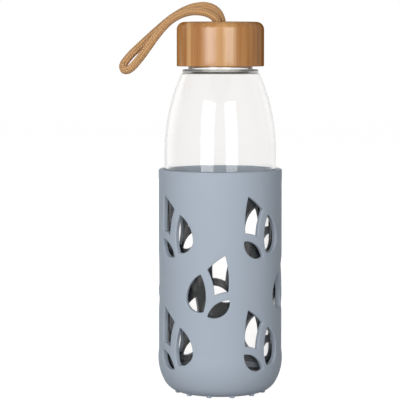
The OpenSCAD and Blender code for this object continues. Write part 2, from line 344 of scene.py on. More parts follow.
def combine(tree, **parts):
    """Make a vector of its X, Y and Z."""
    return Field(add(tree, "ShaderNodeCombineXYZ", parts))


def split(tree, vector):
    """The X, Y and Z of a vector."""
    node = add(tree, "ShaderNodeSeparateXYZ", {0: vector})
    return Field(node, "X"), Field(node, "Y"), Field(node, "Z")


def coordinates(tree, kind="Object"):
    """The place of a point of the surface."""
    return Field(add(tree, "ShaderNodeTexCoord"), kind)


def attribute(tree, name, output):
    """What the mesh's own attribute says."""
    return Field(add(tree, "ShaderNodeAttribute", attribute_name=name), output)


def facing(tree):
    """0 where the surface is seen straight on, up to 1 where it is seen edge on."""
    return Field(add(tree, "ShaderNodeLayerWeight", {"Blend": 0.5}), "Facing")


def ramp(tree, value, low, high, start=0, end=1, course="SMOOTHSTEP"):
    """Take a value from the range of low to high to the one of start to end."""
    given = {"Value": value, "From Min": low, "From Max": high, "To Min": start, "To Max": end}
    return Field(add(tree, "ShaderNodeMapRange", given, interpolation_type=course), "Result")


def mixed(tree, factor, first, second, **settings):
    """Mix two colours."""
    given = {"Factor": factor, 6: first, 7: second}
    return Field(add(tree, "ShaderNodeMix", given, data_type="RGBA", **settings), 2)


def noise(tree, place, scale, detail=2, roughness=0.5):
    """Add a noise texture; gives its grey value."""
    given = {"Vector": place, "Scale": scale, "Detail": detail, "Roughness": roughness}
    return Field(add(tree, "ShaderNodeTexNoise", given), "Fac")


def bumped(tree, shader, height, distance, **under):
    """Put a bump on a shader, over the Normal that under may name; gives the normal it makes."""
    given = {"Strength": 1, "Distance": distance, "Height": height, **under}
    normal = Field(add(tree, "ShaderNodeBump", given), "Normal")
    feed(shader, "Normal", normal)
    return normal


def toned(tint, share):
    """A colour with its red, green and blue at a share of what they were."""
    return [share * value for value in tint[:3]] + [1]


def new_group(name, kind, inputs, outputs):
    """Make a node group; inputs are (name, socket, value) and outputs are (name, socket). Gives
    the tree, what it is given by name, and its output node."""
    tree = bpy.data.node_groups.new(name, kind)
    for label, socket, value in inputs:
        entry = tree.interface.new_socket(label, in_out="INPUT", socket_type="NodeSocket" + socket)
        if value is not None:
            entry.default_value = value
    for label, socket in outputs:
        tree.interface.new_socket(label, in_out="OUTPUT", socket_type="NodeSocket" + socket)
    node = add(tree, "NodeGroupInput")
    given = {label: Field(node, label) for label, _, _ in inputs}
    return tree, given, add(tree, "NodeGroupOutput")


def once(name, build):
    """The node group of that name, built when it is first asked for."""
    return bpy.data.node_groups.get(name) or build(name)


# ---- Shared surface effects ----


def surface_variation(name):
    """Shader group: slow tone drift, fine moulded grain and patchy gloss over any finish."""
    tree, given, out = new_group(
        name,
        "ShaderNodeTree",
        (
            ("Color", "Color", (0.5, 0.5, 0.5, 1)),
            ("Tone Amount", "Float", 0.05),
            ("Tone Scale", "Float", 60.0),
            ("Roughness", "Float", 0.5),
            ("Roughness Amount", "Float", 0.1),
            ("Grain Scale", "Float", 2500.0),
        ),
        (("Color", "Color"), ("Roughness", "Float"), ("Height", "Float")),
    )
    place = coordinates(tree)

    drift = noise(tree, place, given["Tone Scale"], 4)
    value = ((drift - 0.5) * given["Tone Amount"]).times_plus(2.0, 1.0)
    tone = add(tree, "ShaderNodeHueSaturation", {"Color": given["Color"], "Value": value})
    feed(out, "Color", Field(tone, "Color"))

    gloss = noise(tree, place, 140, 3) - 0.5
    feed(out, "Roughness", gloss.times_plus(given["Roughness Amount"], given["Roughness"]))
    feed(out, "Height", noise(tree, place, given["Grain Scale"]))
    return tree


def new_material(name, **values):
    """Make a material with those values on its shader's sockets, whose names have _ for a space.
    Gives the material, its tree and its Principled shader."""
    material = bpy.data.materials.new(name)
    material.use_nodes = True
    tree = material.node_tree
    tree.nodes.clear()
    given = {label.replace("_", " "): value for label, value in values.items()}
    shader = add(tree, "ShaderNodeBsdfPrincipled", given)
    add(tree, "ShaderNodeOutputMaterial", {"Surface": Field(shader, "BSDF")})
    return material, tree, shader


def varied(tree, shader, base, tone, gloss, grain):
    """Join a material's base colour to its shader through the shared surface group. tone is (how
    much, scale), gloss is (roughness, how much) and grain is (scale, height). Gives the normal."""
    given = {
        "Color": base,
        "Tone Amount": tone[0],
        "Tone Scale": tone[1],
        "Roughness": gloss[0],
        "Roughness Amount": gloss[1],
        "Grain Scale": grain[0],
    }
    group = add(tree, "ShaderNodeGroup", node_tree=once("surface_variation", surface_variation))
    for entry, value in given.items():
        feed(group, entry, value)
    feed(shader, "Base Color", Field(group, "Color"))
    feed(shader, "Roughness", Field(group, "Roughness"))
    return bumped(tree, shader, Field(group, "Height"), grain[1])


# ---- Finishes ----


def soda_glass(colours):
    """Clear soda glass with slow mould waves, and painted shade where its outside is seen edge on,
    in place of the dark surroundings that it would refract there. The skin attribute is 1 on its
    outside and 0 on its inside."""
    material, tree, shader = new_material(
        "soda_glass", Transmission_Weight=1, IOR=1.5, Specular_IOR_Level=0.2
    )
    place = coordinates(tree)
    _, _, height = split(tree, place)
    skin = attribute(tree, "skin", "Fac")
    # painted shade: a darker base colour where the outside is seen edge on
    painted_edge_shade = ramp(tree, facing(tree), 0.64, 0.82) * skin
    wall = mixed(tree, painted_edge_shade, (1, 0.993, 0.986, 1), colours.glass_edge)

    # the thick neck ring is tinted, dull and darker in its upper part
    ring = ramp(tree, height, 0.1883, 0.1888, course="LINEAR") * (height < 0.1914) * skin
    upper = ramp(tree, height, 0.1896, 0.1903, course="LINEAR")
    tint = mixed(tree, upper, colours.neck_ring, toned(colours.neck_ring, 0.45))
    feed(shader, "Base Color", mixed(tree, ring, wall, tint))
    feed(shader, "Roughness", ring * 0.35)

    # clear glass casts no shadow on what stands behind it, and the ring is partly see-through
    shadow = Field(add(tree, "ShaderNodeLightPath"), "Is Shadow Ray")
    clear = upper.times_plus(-0.3, 0.6) * ring
    alpha = calc(tree, "SUBTRACT", 1.0, shadow) * calc(tree, "SUBTRACT", 1.0, clear)
    feed(shader, "Alpha", alpha)
    bumped(tree, shader, noise(tree, place, 55, 1), 0.00004)
    return material


def satin_silicone(colours):
    """Satin silicone with a fine moulded grain, a soft, dusty bloom and painted shade in its bore.
    """
    material, tree, shader = new_material(
        "satin_silicone", Specular_IOR_Level=0.12, Sheen_Weight=0.03, Sheen_Roughness=0.5
    )
    x, y, z = split(tree, coordinates(tree))

    # painted shade: the bore is darker than the outside, and less so near the rim, where light
    # comes in at the open top; the bore is what lies inside a radius of 33.4 mm, with a heel
    # rounded by 12 mm
    from_axis = vector_calc(tree, "LENGTH", combine(tree, X=x, Y=y))
    out = (from_axis - 0.0214).calc("MAXIMUM", 0)
    down = (z - 0.0151).calc("MINIMUM", 0)
    bore = vector_calc(tree, "LENGTH", combine(tree, X=out, Y=down)) < 0.012
    painted_bore_shade = bore * ramp(tree, z, 0.124, 0.108, start=0.37)
    tone = mixed(tree, painted_bore_shade, colours.silicone, toned(colours.silicone, 0.08))
    varied(tree, shader, tone, tone=(0.03, 45), gloss=(0.55, 0.12), grain=(2600, 0.00002))
    return material


# where each bamboo strip starts, as a share of the cap's width, and its tone from dark to pale;
# the tones are the strips' own, with painted shade in them: towards the right (+X) they are darker
# where the light falls off
BAMBOO_TONES_AND_SHADE = (
    (0.0, 0.30), (0.062, 0.14), (0.116, 0.90), (0.158, 0.28), (0.198, 0.04), (0.22, -0.55),
    (0.258, 0.20), (0.29, 0.32), (0.322, 0.36), (0.362, 0.44), (0.404, 0.38), (0.439, 0.52),
    (0.475, 0.62), (0.52, 0.70), (0.566, 0.58), (0.611, 0.62), (0.645, 0.50), (0.673, 0.28),
    (0.71, 0.22), (0.747, 0.32), (0.792, 0.16), (0.905, 0.10),
)


def lacquered_bamboo(colours):
    """Lacquered bamboo: upright glued strips of several tones, with painted shade on the right, and
    long fibres.
    """
    material, tree, shader = new_material(
        "lacquered_bamboo", Coat_Roughness=0.27, Coat_IOR=1.65, Specular_IOR_Level=0
    )
    place = coordinates(tree)
    x, y, _ = split(tree, place)

    # strips lie side by side across X and two deep along Y, the back ones set over
    shift = (y > 0.004).times_plus(0.0131, x)
    across = (noise(tree, place, 90) - 0.5).times_plus(0.0004, shift)
    share = across.times_plus(1 / 0.0514, 0.5).calc("FRACT")
    # the strips' tones, with their painted shade towards the right (+X)
    strips = add(tree, "ShaderNodeValToRGB", {0: share})
    strips.color_ramp.interpolation = "CONSTANT"
    tones = strips.color_ramp.elements
    while len(tones) < len(BAMBOO_TONES_AND_SHADE):
        tones.new(0.5)
    for element, (position, tone) in zip(tones, BAMBOO_TONES_AND_SHADE):
        element.position = position
        element.color = (tone, tone, tone, 1)

    # long fibres: noise drawn out along Z
    long = Field(add(tree, "ShaderNodeMapping", {"Scale": (1, 1, 0.02), "Vector": place}))
    fibre = noise(tree, long, 1500, 5, 0.6)
    streak = (fibre - 0.5).times_plus(0.7, Field(strips, "Color"))
    wide = (noise(tree, long, 380) - 0.5).times_plus(0.7, streak)
    level = wide.calc("MINIMUM", 1.35)
    tone = mixed(tree, level, colours.dark_bamboo, colours.bamboo, clamp_factor=False)
    normal = varied(tree, shader, tone, tone=(0.04, 30), gloss=(0.32, 0.1), grain=(900, 0.00001))
    bumped(tree, shader, fibre, 0.00003, Normal=normal)

    # the lacquer fades where it is seen at a grazing angle, so the edges keep the wood's tone
    feed(shader, "Coat Weight", ramp(tree, facing(tree), 0.42, 0.72, start=1, end=0))
    return material


def moulded_plastic(colours):
    """Moulded white polypropylene."""
    material, tree, shader = new_material("moulded_plastic")
    base = colours.liner
    varied(tree, shader, base, tone=(0.02, 60), gloss=(0.36, 0.08), grain=(1800, 0.00001))
    return material


def milky_silicone(colours):
    """Milky clear silicone for the seal."""
    material, tree, shader = new_material("milky_silicone", Transmission_Weight=0.35, IOR=1.41)
    base = (0.86, 0.87, 0.87, 1)
    varied(tree, shader, base, tone=(0.02, 80), gloss=(0.4, 0.08), grain=(2200, 0.00001))
    return material


def spun_yarn(colours):
    """Spun nylon yarn: fine filaments that twist along each yarn, lit a little by its fluff, with
    painted shade in rows across the cord. The yarn_lay attribute is the angle round the yarn, the
    way along it and the way along the cord."""
    material, tree, shader = new_material(
        "spun_yarn", Sheen_Weight=0.15, Sheen_Roughness=0.4, Specular_IOR_Level=0.3
    )
    round_yarn, along_yarn, along_cord = split(tree, attribute(tree, "yarn_lay", "Vector"))

    # painted light and shade: dark lines across the cord every 1.3 mm, where the rows of yarns dip,
    # and a lighter tone between them
    painted_row_shade = (along_cord * (2 * math.pi / 0.0013)).calc("COSINE").times_plus(0.5, 0.5)
    tone = mixed(tree, painted_row_shade, toned(colours.cord, 1.2), toned(colours.cord, 0.76))
    normal = varied(tree, shader, tone, tone=(0.10, 160), gloss=(0.62, 0.1), grain=(1500, 0.00004))

    # six plies a yarn, twisted along it
    ply = (along_yarn.times_plus(900.0, round_yarn) * 6.0).calc("SINE")
    bumped(tree, shader, ply, 0.00003, Normal=normal)
    return material


FINISHES = {
    "clear_glass": soda_glass,
    "grey_silicone": satin_silicone,
    "bamboo": lacquered_bamboo,
    "white_plastic": moulded_plastic,
    "clear_silicone": milky_silicone,
    "tan_cord": spun_yarn,
}


def finish(context, slot):
    """The material of one of the record's slots, made when it is first asked for."""
    make = FINISHES[slot]
    return bpy.data.materials.get(make.__name__) or make(context.scene.bottle_colours)


def settle(context, obj, body, slot, *nodes):
    """Give a finished piece the material of its slot and its body, and hide the nodes it stands
    for.
    """
    obj.data.materials.clear()
    obj.data.materials.append(finish(context, slot))
    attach(obj, body)
    if nodes:
        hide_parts(*nodes)


# ---- Cord and knot ----

# the cord's route, in mm from the middle of the cap's top: out of the cap, round the loop, back in
CORD_POINTS = (
    (1, 2.5, -7), (1, 2.5, -3), (0.7, 2.5, 0.8), (-1, 2.5, 5), (-4.4, 2.5, 8),
    (-8.8, 2.5, 9.3), (-13.2, 2.6, 9.1), (-17.6, 2.7, 8.1), (-22, 2.9, 6.2), (-26.2, 3.1, 3.8),
    (-30.2, 3.3, 1), (-34.1, 3.5, -2.2), (-37.9, 3.7, -5.5), (-41.7, 3.9, -8.9),
    (-45.5, 4.1, -12.4), (-49.1, 4.2, -15.7), (-52.6, 4.2, -19.1), (-55.4, 4.2, -22.4),
    (-57, 3.5, -24.7), (-57.3, 2, -26.6), (-56.7, 0, -28), (-55.2, -2.1, -28.3),
    (-53.3, -3.6, -27.6), (-51.2, -4.2, -25.9), (-47.8, -4.2, -22), (-44.7, -4.1, -17.9),
    (-41.7, -3.9, -13.7), (-38.7, -3.7, -9.5), (-35.4, -3.5, -5.3), (-31.6, -3.2, -1.1),
    (-27.2, -3, 2.3), (-22.1, -2.8, 4.8), (-16.5, -2.6, 6.1), (-11.2, -2.5, 5.9),
    (-6.6, -2.5, 4.6), (-3.2, -2.5, 2.2), (-1.7, -2.5, -0.8), (-1.4, -2.5, -3.8),
    (-1.4, -2.5, -7),
)


def smooth_path(points, closed=False, parts=14):
    """A smooth line through the points, as many short steps."""
    if closed:
        padded = [points[-1], *points, points[0], points[1]]
    else:
        padded = [points[0] * 2 - points[1], *points, points[-1] * 2 - points[-2]]
    line = []
    for a, b, c, d in zip(padded, padded[1:], padded[2:], padded[3:]):
        for k in range(parts):
            t = k / parts
            square = (a * 2 - b * 5 + c * 4 - d) * t**2
            cube = (b * 3 - a - c * 3 + d) * t**3
            line.append((b * 2 + (c - a) * t + square + cube) / 2)
    if not closed:
        line.append(points[-1])
    return line


def path_object(name, line, closed):
    """A poly curve object along a line."""
    curve = bpy.data.curves.new(name, "CURVE")
    curve.dimensions = "3D"
    spline = curve.splines.new("POLY")
    spline.points.add(len(line) - 1)
    for point, place in zip(spline.points, line):
        point.co = (*place, 1)
    spline.use_cyclic_u = closed
    obj = bpy.data.objects.new(name, curve)
    bpy.context.scene.collection.objects.link(obj)
    return obj


def capture(tree, geometry, **fields):
    """Keep fields on the points of a geometry; each is a data type and a field."""
    node = add(tree, "GeometryNodeCaptureAttribute", domain="POINT")
    for label, (kind, _) in fields.items():
        node.capture_items.new(kind, label)
    feed(node, "Geometry", geometry)
    for label, (_, source) in fields.items():
        feed(node, label, source)
    return node


def sweep(tree, line, profile):
    """Take a profile along a curve and close its ends."""
    given = {"Curve": line, "Profile Curve": profile, "Fill Caps": True}
    return Field(add(tree, "GeometryNodeCurveToMesh", given), "Mesh")


def resampled(tree, line, step):
    """A curve with points at even steps along it."""
    given = {"Curve": line, "Length": step}
    return Field(add(tree, "GeometryNodeResampleCurve", given, mode="LENGTH"), "Curve")


def hand_out(tree, out, shape, material):
    """End a geometry tree: realize the copies and give them a material."""
    real = Field(add(tree, "GeometryNodeRealizeInstances", {"Geometry": shape}))
    surface = {"Geometry": real, "Material": material}
    feed(out, "Geometry", Field(add(tree, "GeometryNodeSetMaterial", surface)))


def braid_tree(name):
    """Geometry nodes: yarns that wind both ways round a path, two over and two under."""
    tree, given, out = new_group(
        name,
        "GeometryNodeTree",
        (
            ("Geometry", "Geometry", None),
            ("Diameter", "Float", 0.0049),
            ("Pitch", "Float", 0.0104),
            ("Yarns", "Int", 8),
            ("Step", "Float", 0.00034),
            ("Yarn Width", "Float", 0.00112),
            ("Yarn Thickness", "Float", 0.00066),
            ("Weave Depth", "Float", 0.00028),
            ("Material", "Material", None),
        ),
        (("Geometry", "Geometry"),),
    )
    path, yarns, depth = given["Geometry"], given["Yarns"], given["Weave Depth"]

    # what each point of the path passes on to its yarns
    kept = capture(
        tree,
        resampled(tree, path, given["Step"]),
        Length=("FLOAT", Field(add(tree, "GeometryNodeSplineParameter"), "Length")),
        Tangent=("VECTOR", Field(add(tree, "GeometryNodeInputTangent"), "Tangent")),
        Normal=("VECTOR", Field(add(tree, "GeometryNodeInputNormal"), "Normal")),
    )
    along_cord = Field(kept, "Length")
    tangent, normal = Field(kept, "Tangent"), Field(kept, "Normal")
    amount = {"Geometry": Field(kept, "Geometry"), "Amount": yarns * 2.0}
    copies = add(tree, "GeometryNodeDuplicateElements", amount, domain="SPLINE")
    index = Field(copies, "Duplicate Index")

    # one way for the first half of the yarns, the other way for the rest
    way = (index > yarns - 0.5).times_plus(-2.0, 1.0)
    winding = along_cord / given["Pitch"] * way
    turn = (winding + index / yarns) * (2 * math.pi)

    # the yarns swing out and in as they pass over and under each other; the swing is clipped,
    # so that a yarn stays out or in for most of the way
    swing = turn.times_plus(yarns * 0.5, -math.pi / 4).calc("COSINE") * 1.7
    swing = swing.calc("MAXIMUM", -1.0).calc("MINIMUM", 1.0) * way * depth
    middle = (given["Diameter"] - given["Yarn Thickness"]) * 0.5 - depth
    radius = middle + swing

    side = vector_calc(tree, "CROSS_PRODUCT", tangent, normal)
    along_normal = vector_calc(tree, "SCALE", normal, turn.calc("COSINE"))
    along_side = vector_calc(tree, "SCALE", side, turn.calc("SINE"))
    outwards = vector_calc(tree, "ADD", along_normal, along_side)
    offset = vector_calc(tree, "SCALE", outwards, radius)
    moved = {"Geometry": Field(copies, "Geometry"), "Offset": offset}
    placed = Field(add(tree, "GeometryNodeSetPosition", moved))
    turned = {"Curve": placed, "Normal": outwards}
    strands = Field(add(tree, "GeometryNodeSetCurveNormal", turned, mode="FREE"))
    along_yarn = Field(add(tree, "GeometryNodeSplineParameter"), "Length")
    laid = capture(tree, strands, Along=("FLOAT", along_yarn))

    # a flattened yarn, its thin way towards the middle of the cord
    ring = add(tree, "GeometryNodeCurvePrimitiveCircle", {"Resolution": 8, "Radius": 0.5})
    size = combine(tree, X=given["Yarn Thickness"], Y=given["Yarn Width"], Z=1)
    flat = add(tree, "GeometryNodeTransform", {"Geometry": Field(ring, "Curve"), "Scale": size})
    around = Field(add(tree, "GeometryNodeSplineParameter"), "Factor")
    profile = capture(tree, Field(flat, "Geometry"), Around=("FLOAT", around))
    yarn = sweep(tree, Field(laid, "Geometry"), Field(profile, "Geometry"))

    # angle round the yarn, length along it and length along the cord, for the finish
    round_yarn = Field(profile, "Around") * (2 * math.pi)
    lay = combine(tree, X=round_yarn, Y=Field(laid, "Along"), Z=along_cord)
    stored = add(
        tree,
        "GeometryNodeStoreNamedAttribute",
        {"Name": "yarn_lay", "Geometry": yarn, "Value": lay},
        data_type="FLOAT_VECTOR",
        domain="POINT",
    )

    # a plain core that closes the gaps between the yarns
    core_size = {"Resolution": 10, "Radius": middle - depth}
    core_ring = add(tree, "GeometryNodeCurvePrimitiveCircle", core_size)
    core = sweep(tree, resampled(tree, path, 0.001), Field(core_ring, "Curve"))

    joined = add(tree, "GeometryNodeJoinGeometry")
    feed(joined, "Geometry", core)
    feed(joined, "Geometry", Field(stored, "Geometry"))
    smooth = {"Geometry": Field(joined, "Geometry")}
    surface = Field(add(tree, "GeometryNodeSetShadeSmooth", smooth))
    hand_out(tree, out, surface, given["Material"])
    return tree


def baked_nodes(source, name, tree, **values):
    """Run a geometry nodes tree on an object; gives the result as a plain mesh object."""
    modifier = source.modifiers.new(tree.name, "NODES")
    modifier.node_group = tree
    for item in tree.interface.items_tree:
        if item.item_type == "SOCKET" and item.in_out == "INPUT" and item.name in values:
            modifier[item.identifier] = values[item.name]
    graph = bpy.context.evaluated_depsgraph_get()
    mesh = bpy.data.meshes.new_from_object(source.evaluated_get(graph), depsgraph=graph)
    mesh.name = name
    data = source.data
    bpy.data.objects.remove(source)
    kept = bpy.data.curves if isinstance(data, bpy.types.Curve) else bpy.data.meshes
    kept.remove(data)
    obj = bpy.data.objects.new(name, mesh)
    bpy.context.scene.collection.objects.link(obj)
    return obj


def braid(context, name, line, closed, diameter):
    """A braided cord of one diameter along a line."""
    sizes = context.scene.bottle_cord
    return baked_nodes(
        path_object(name + "_path", line, closed),
        name,
        once("braid", braid_tree),
        Diameter=diameter,
        Pitch=sizes.pitch,
        Yarns=sizes.yarns,
        Material=finish(context, "tan_cord"),
    )


def knot_path(thick, points=40):
    """A closed line that goes twice round the knot's box and three times round its own tube."""
    tube = thick / 2
    gap = 0.1 * MM
    rise = (knot_high.z - knot_low.z) / 2 - tube - gap
    reach = knot_high.x - tube - rise - gap
    middle = (knot_low.z + knot_high.z) / 2
    ring = []
    for i in range(points):
        a = 4 * math.pi * i / points
        r = reach + rise * math.cos(1.5 * a)
        ring.append(Vector((r * math.cos(a), r * math.sin(a), middle + rise * math.sin(1.5 * a))))
    return smooth_path(ring, closed=True, parts=8)


class BOTTLE_OT_cord(bpy.types.Operator):
    """Braid the carry cord and tie the knot that holds its ends under the cap"""

    bl_idname = "bottle.cord"
    bl_label = "Carry Cord and Knot"

    def execute(self, context):
        sizes = context.scene.bottle_cord
        top = cap_high.z
        line = smooth_path([Vector((x * MM, y * MM, top + z * MM)) for x, y, z in CORD_POINTS])
        cord = braid(context, "braided_cord", line, False, sizes.diameter)
        settle(context, cord, "cap", "tan_cord", "carry_cord")

        # the knot is pulled tight, so the cord in it is a little thinner
        thick = sizes.diameter * 0.88
        knot = braid(context, "stopper_knot", knot_path(thick), True, thick)
        settle(context, knot, "cap", "tan_cord", "cord_knot")
        sum((b - a).length for a, b in zip(line, line[1:]))
        return {"FINISHED"}


# ---- Glass ----


class BOTTLE_OT_glass(bpy.types.Operator):
    """Turn the glass bottle, with its punt, shoulder, neck ring and screw thread"""

    bl_idname = "bottle.glass"
    bl_label = "Glass Bottle"

    def execute(self, context):
        # all in mm; the section goes from the punt up the outside and down the inside
        s = context.scene.bottle_glass
        base, lip = s.base_z / MM, s.lip_z / MM
        floor_z = base + s.floor / MM
        r, wall = s.radius / MM, s.wall / MM
        straight_z = base + s.straight / MM
        ring_z = straight_z + s.shoulder / MM
        neck, mouth = s.neck_radius / MM, s.mouth_radius / MM
        ring, ring_t = s.ring_radius / MM, s.ring_thickness / MM
        top_r = s.shoulder_radius / MM
        heel, punt_r, punt_h = 11.5, 19, 1.2
        lip_out, lip_in, ring_edge = 0.9, 0.6, 0.6
        mouth_edge, mouth_depth = 0.8, 2
        thread_up = 6.5

        big = ((r - top_r) ** 2 + (ring_z - straight_z) ** 2) / (2 * (r - top_r))
        centre = r - big

        def shoulder(wall_r, top_z, edge):
            """Shoulder arc and the rounded edge that ends it at top_z."""
            arc_r = big - (r - wall_r)
            edge_z = top_z - edge
            edge_x = centre + math.sqrt((arc_r - edge) ** 2 - (edge_z - straight_z) ** 2)
            lean = math.degrees(math.atan2(edge_z - straight_z, edge_x - centre))
            body = arc(centre, straight_z, arc_r, 0, lean, 40)
            return body + arc(edge_x, edge_z, edge, lean, 90, 8)[1:]

        punt_arc = (punt_r**2 + punt_h**2) / (2 * punt_h)
        section = [(0, base + punt_h)]
        for i in range(1, 11):
            x = punt_r * i / 10
            section.append((x, base + punt_h - punt_arc + math.sqrt(punt_arc**2 - x**2)))
        section += arc(r - heel, base + heel, heel, -90, 0, 16)
        section += rows_between(r, base + heel, straight_z, 12)
        section += shoulder(r, ring_z, ring_edge)
        round_r = ring_t * 0.45
        section += arc(ring - round_r, ring_z + round_r, round_r, -90, 0, 6)
        section += arc(ring - round_r, ring_z + ring_t - round_r, round_r, 0, 90, 6)
        section += [(neck + 0.6, ring_z + ring_t), (neck + 0.18, ring_z + ring_t + 0.18)]
        section += rows_between(neck, ring_z + ring_t, lip - lip_out, 0.22)
        section += arc(neck - lip_out, lip - lip_out, lip_out, 0, 90, 6)
        outside = len(section)

        section += arc(mouth + lip_in, lip - lip_in, lip_in, 90, 180, 5)
        mouth_z = ring_z + ring_t - mouth_depth
        section += rows_between(mouth, lip - lip_in, mouth_z + mouth_edge, 4)
        for a in (0, 0.4, 0.8, 1.2, math.pi / 2):
            x = mouth + mouth_edge - mouth_edge * math.cos(a)
            section.append((x, mouth_z + mouth_edge - mouth_edge * math.sin(a)))
        section += shoulder(r - wall, mouth_z, 1)[::-1]
        inner_heel = heel - wall
        section += rows_between(r - wall, straight_z, floor_z + inner_heel, 12)
        section += arc(r - wall - inner_heel, floor_z + inner_heel, inner_heel, 0, -90, 14)
        section += [(10, floor_z), (0, floor_z)]

        ridge = thread_ridge(neck, 0, ring_z + thread_up, s.thread_out / MM)
        glass = turned_object("glass_body", section, ridge)
        skin = glass.data.attributes.new("skin", "FLOAT", "POINT")
        last = 1 + (outside - 1) * STEPS
        values = [1.0 if i < last else 0.0 for i in range(len(skin.data))]
        skin.data.foreach_set("value", values)
        settle(context, glass, "bottle", "clear_glass", "glass_bottle")
        return {"FINISHED"}


# ---- Sleeve ----


def ray(turn):
    """A step of 1 in a direction of the plan."""
    return Vector((math.cos(turn), math.sin(turn)))


def side_through(p, q, radius, bulge=1):
    """A leaf's side from p to q, as (centre, radius, bulge), with its centre on the left."""
    way = q - p
    left = Vector((-way.y, way.x)).normalized()
    return (p + q) / 2 + left * math.sqrt(radius**2 - way.length_squared / 4), radius, bulge


def crossing(one, other, near):
    """Where two circles (centre, radius) cross, at the place nearest to a point."""
    (c1, r1), (c2, r2) = one, other
    way = c2 - c1
    far = way.length
    along = (r1**2 - r2**2 + far**2) / (2 * far)
    height = math.sqrt(max(0, r1**2 - along**2))
    foot = c1 + way * (along / far)
    up = Vector((-way.y, way.x)) * (height / far)
    return min((foot + up, foot - up), key=lambda p: (p - near).length)


def fan(last, way):
    """Ways out round a tip, between the last one and the next side's first one."""
    point, out = last
    turn = out.angle_signed(way) * -1
    steps = max(2, round(abs(turn) / math.radians(26)))
    start = math.atan2(out.y, out.x)
    return [(point, ray(start + turn * k / steps)) for k in range(1, steps)]


def leaf_outline(sides, corners, tip, spacing=0.62):
    """Go round a leaf. Side i is (centre, radius, bulge) and runs from corner i to the next one.
    Gives (point, way out) pairs: the outline, its tips rounded, is tip along each way out."""
    count = len(sides)
    pulled = [(centre, radius - tip * bulge) for centre, radius, bulge in sides]
    joints = [crossing(pulled[i - 1], pulled[i], corners[i]) for i in range(count)]
    outline = []
    for i, (centre, radius, bulge) in enumerate(sides):
        start, end = joints[i] - centre, joints[(i + 1) % count] - centre
        a = math.atan2(start.y, start.x)
        swing = (math.atan2(end.y, end.x) - a + math.pi) % (2 * math.pi) - math.pi
        steps = max(3, round(abs(swing) * radius / spacing))
        if outline:
            outline += fan(outline[-1], ray(a) * bulge)
        for k in range(steps + 1):
            out = ray(a + swing * k / steps)
            outline.append((centre + out * (radius - tip * bulge), out * bulge))
    return outline + fan(outline[-1], outline[0][1])


def leaf_cluster(tip):
    """The three leaves of a cluster as (middle, outline), right and up from its middle, in mm."""
    # the stem leaf, on the right
    top, low, belly = Vector((8.9, 10.6)), Vector((7.3, -11.3)), Vector((17.7, -5.5))
    back = side_through(top, low, 27.9)
    stem = (back, side_through(low, belly, 8.4), side_through(belly, top, 16.5))
    stem_leaf = leaf_outline(stem, (top, low, belly), tip)

    # the small leaf, low on the left
    left, right = Vector((-8.2, -4.2)), Vector((4.6, -13.9))
    upper = side_through(right, left, 12.7)
    small = (upper, side_through(left, right, 9.1))
    small_leaf = leaf_outline(small, (right, left), tip)

    # the wide leaf, whose two hollow sides keep a strip's width from the other leaves
    top, low, point = Vector((-5.7, 21.6)), Vector((-7.6, 1.3)), Vector((1.6, 16.3))
    over_small = (upper[0], upper[1] + 4.6, -1)
    by_stem = (back[0], back[1] + 5.3, -1)
    notch = crossing(over_small[:2], by_stem[:2], Vector((2, 0)))
    wide = (side_through(top, low, 60.7), over_small, by_stem, side_through(point, top, 49.6))
    wide_leaf = leaf_outline(wide, (top, low, notch, point), tip)
    return (8.7, stem_leaf), (-3.75, small_leaf), (-4.2, wide_leaf)


class SleeveShape:
    """Section of the sleeve, in mm, and the way from its wall's plan to space."""

    def __init__(self, sizes):
        self.bore = sizes.bore / MM
        self.radius = sizes.radius / MM
        self.rim = sizes.rim_z / MM
        self.floor = sizes.floor_z / MM
        bulge = sizes.bulge_radius / MM
        self.bulge_z = 20.6
        self.under = 0.4
        self.corner_r = 12.0
        self.corner_z = self.under + self.corner_r
        self.flat_r = bulge - 14.2
        self.inner_corner = 10.5
        self.rim_r = 0.9
        self.seam = math.radians(16)  # where the plan is cut, in a gap between the leaves

        # the side is one arc, from the low corner's arc over the bulge to the straight wall
        rise = self.bulge_z - self.corner_z
        inset = bulge - self.flat_r
        self.side_r = (inset**2 + rise**2 - self.corner_r**2) / (2 * (inset - self.corner_r))
        self.side_x = bulge - self.side_r
        joint = math.atan2(rise, self.flat_r - self.side_x)
        self.joint_deg = math.degrees(joint)
        self.joint_z = self.bulge_z - self.side_r * math.sin(joint)

    def outside(self, z):
        """Outer radius at a height over the lower corner."""
        reach = self.side_r**2 - (z - self.bulge_z) ** 2
        side = self.side_x + math.sqrt(max(0, reach))
        return max(self.radius, side) if z > self.bulge_z else side

    def place(self, turn, radius, z):
        """Point at a turn from the front, towards the right."""
        return (radius * math.sin(turn) * MM, -radius * math.cos(turn) * MM, z * MM)


def inside_loop(loop, x, y):
    """Whether a point of the plan lies inside a closed loop."""
    inside = False
    for (x0, y0), (x1, y1) in zip(loop, loop[1:] + loop[:1]):
        if (y0 > y) != (y1 > y) and x < (x1 - x0) * (y - y0) / (y1 - y0) + x0:
            inside = not inside
    return inside


def box_of(loop, margin):
    """The box round a loop, with a margin, as its low and high x and its low and high y."""
    xs, ys = zip(*loop)
    return min(xs) - margin, max(xs) + margin, min(ys) - margin, max(ys) + margin


def in_box(box, x, y):
    """Whether a point of the plan lies inside a box."""
    return box[0] < x < box[1] and box[2] < y < box[3]


